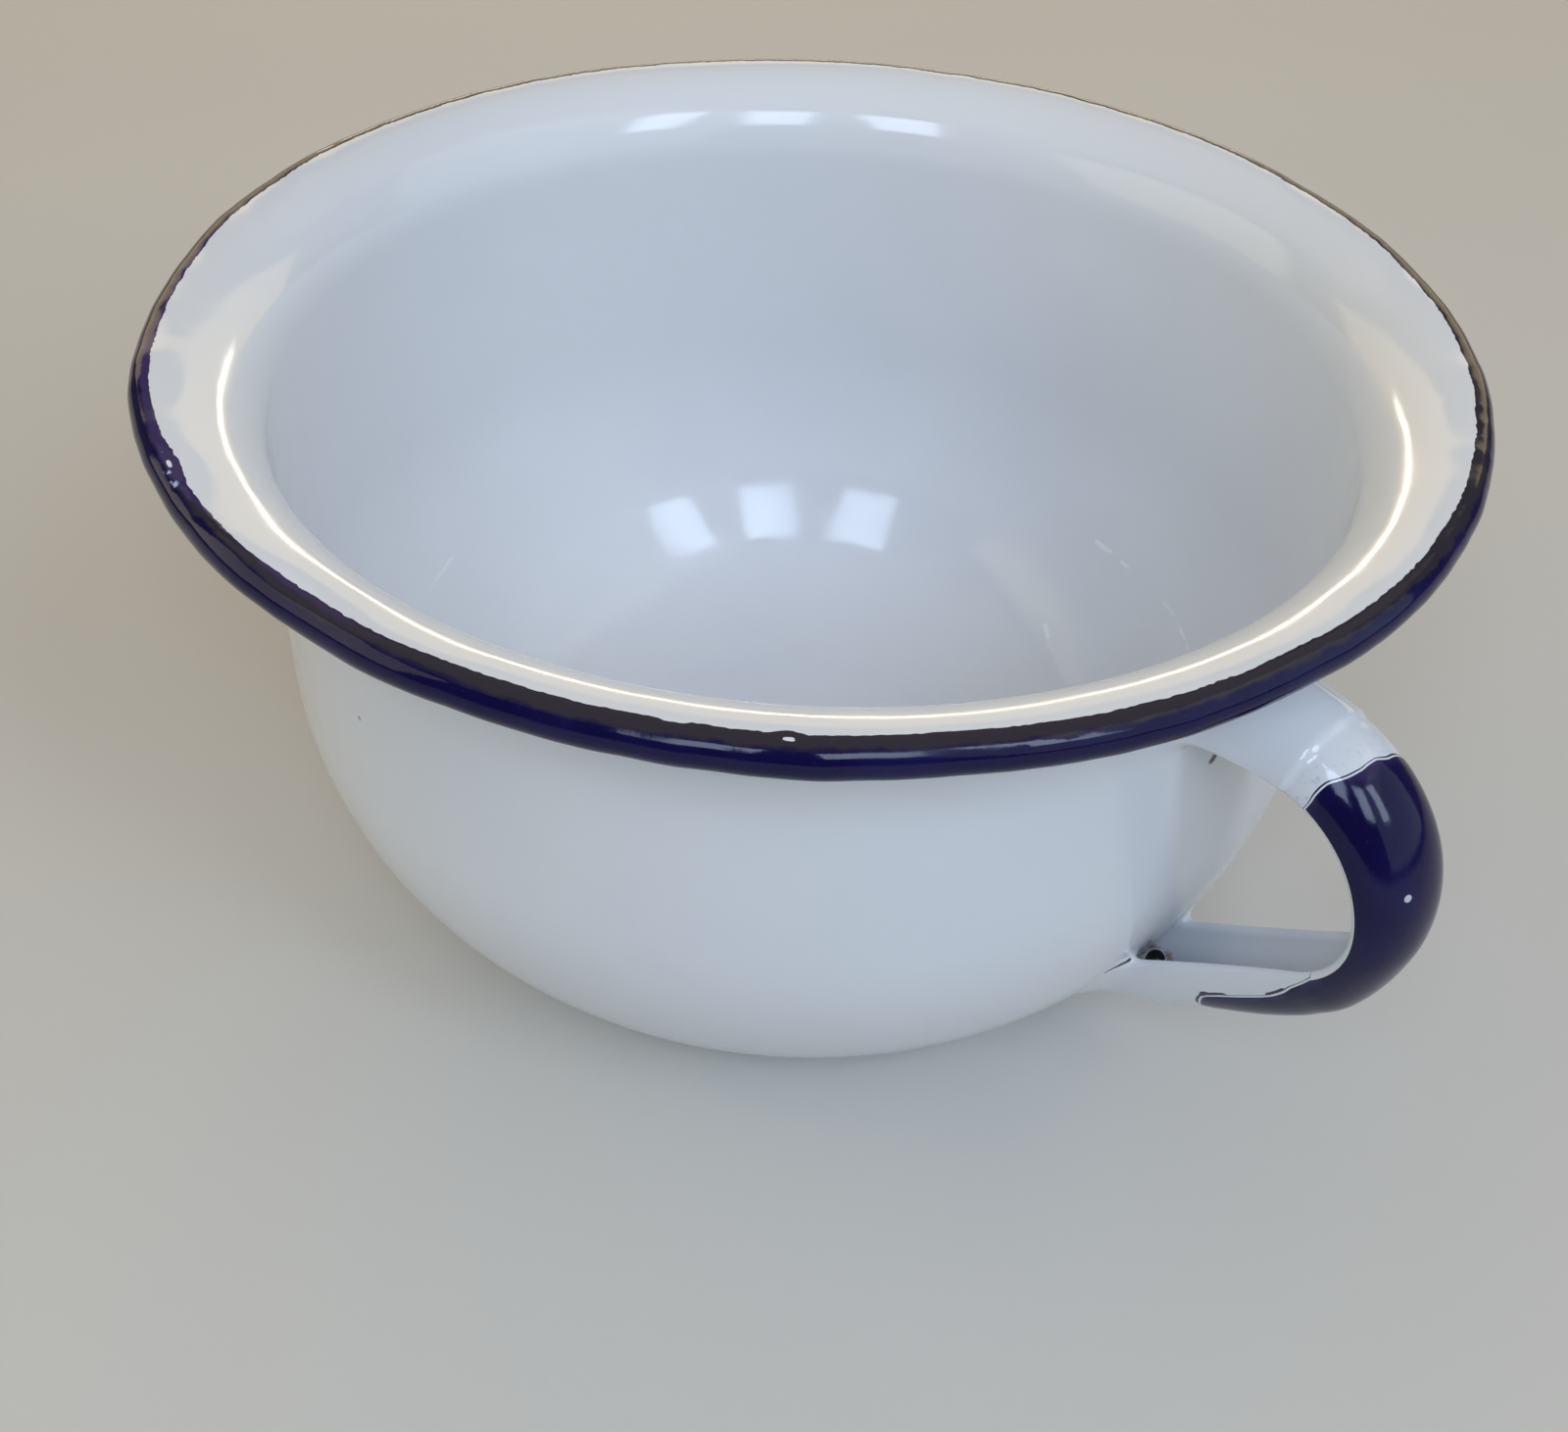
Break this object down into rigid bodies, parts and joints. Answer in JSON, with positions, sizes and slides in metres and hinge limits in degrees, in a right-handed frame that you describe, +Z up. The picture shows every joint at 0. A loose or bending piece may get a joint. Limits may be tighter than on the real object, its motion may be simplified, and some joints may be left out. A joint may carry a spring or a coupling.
{
  "type": "chamber pot",
  "caption": "Round enamelled steel chamber pot with a wide turned-out lip, a rolled blue rim and a welded strap handle with a blue grip.",
  "frame": {"origin": "middle of the flat base, on the surface that the pot stands on", "axes": "+Z up out of the bowl's mouth, +X out along the middle of the handle"},
  "size_m": [0.2615, 0.238, 0.126],
  "materials": {
    "steel": "mill",
    "white_enamel": "gloss",
    "blue_enamel": "gloss",
    "weld_metal": "mill"
  },
  "bodies": {
    "root": {"bowl_steel": "steel", "inside_enamel": "white_enamel", "outside_enamel": "white_enamel", "base_enamel": "white_enamel", "rim_enamel": "blue_enamel", "handle_steel": "steel", "handle_top_enamel": "white_enamel", "grip_enamel": "blue_enamel", "handle_foot_enamel": "white_enamel", "top_weld_left": "weld_metal", "top_weld_right": "weld_metal", "low_weld_left": "weld_metal", "low_weld_right": "weld_metal"}
  },
  "joints": []
}
